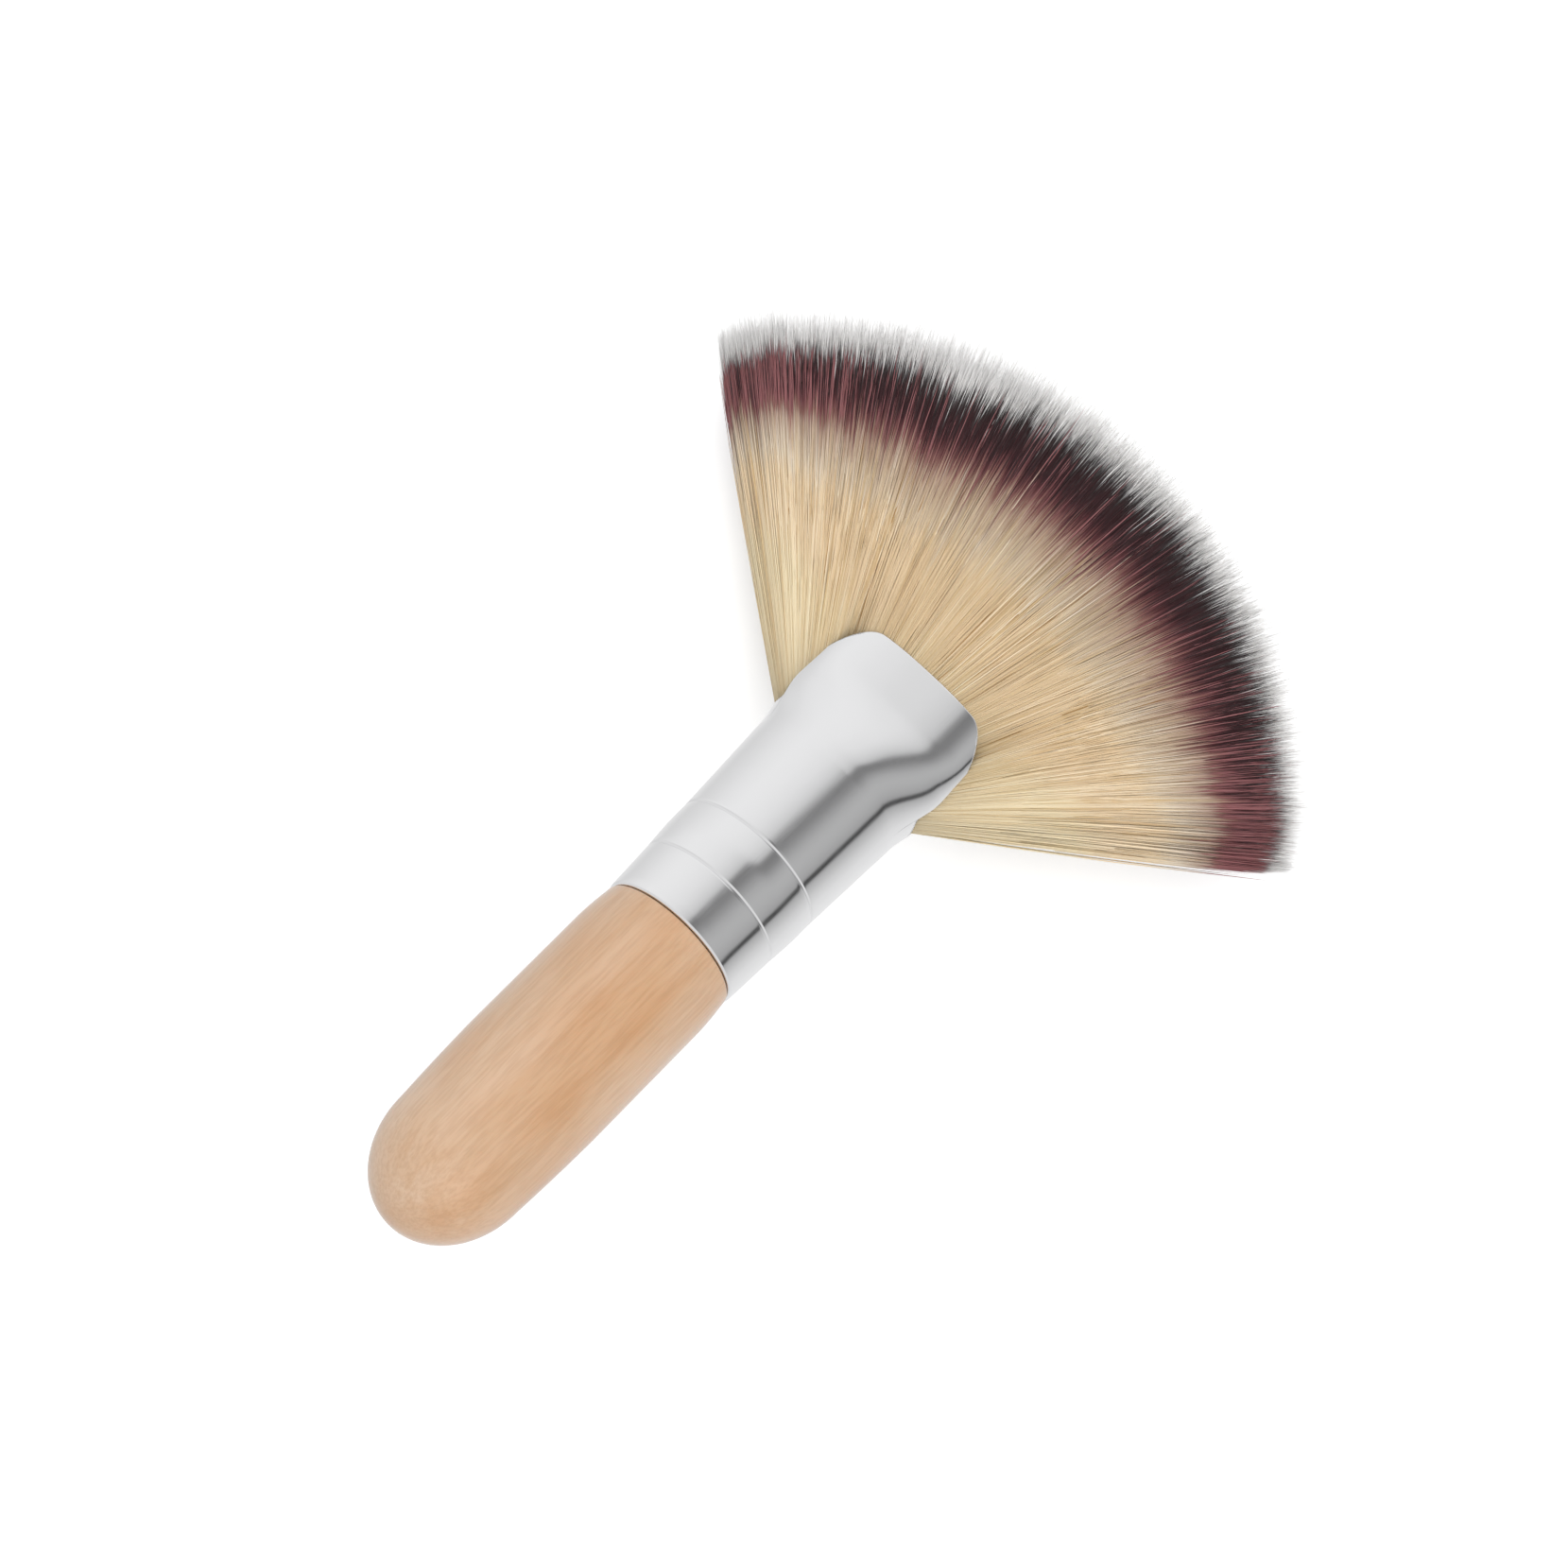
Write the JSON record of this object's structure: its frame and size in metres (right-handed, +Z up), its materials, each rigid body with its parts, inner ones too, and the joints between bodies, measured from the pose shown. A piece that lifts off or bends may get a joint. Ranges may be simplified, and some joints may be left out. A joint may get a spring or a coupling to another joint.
{
  "type": "fan makeup brush",
  "caption": "Short makeup brush with a fan of soft banded hair in a pressed metal ferrule on a domed wooden handle, lying flat.",
  "frame": {"origin": "centre of the bounding box's base, on the floor under the lying brush", "axes": "+Z up, +Y along the brush from the handle toward the hair, +X across the fan; the axis is pitched about one degree, hair end up, as the brush rests on its handle and on the ferrule's shoulder"},
  "size_m": [0.0663, 0.097, 0.0152],
  "materials": {
    "wood": "clear varnish, satin",
    "aluminium": "polished",
    "glue": "clear amber epoxy",
    "hair": "cream hair with a dark brown band and white tips"
  },
  "bodies": {
    "root": {"handle": "wood", "ferrule": "aluminium", "glue_plug": "glue", "bristles": "hair"}
  },
  "joints": []
}
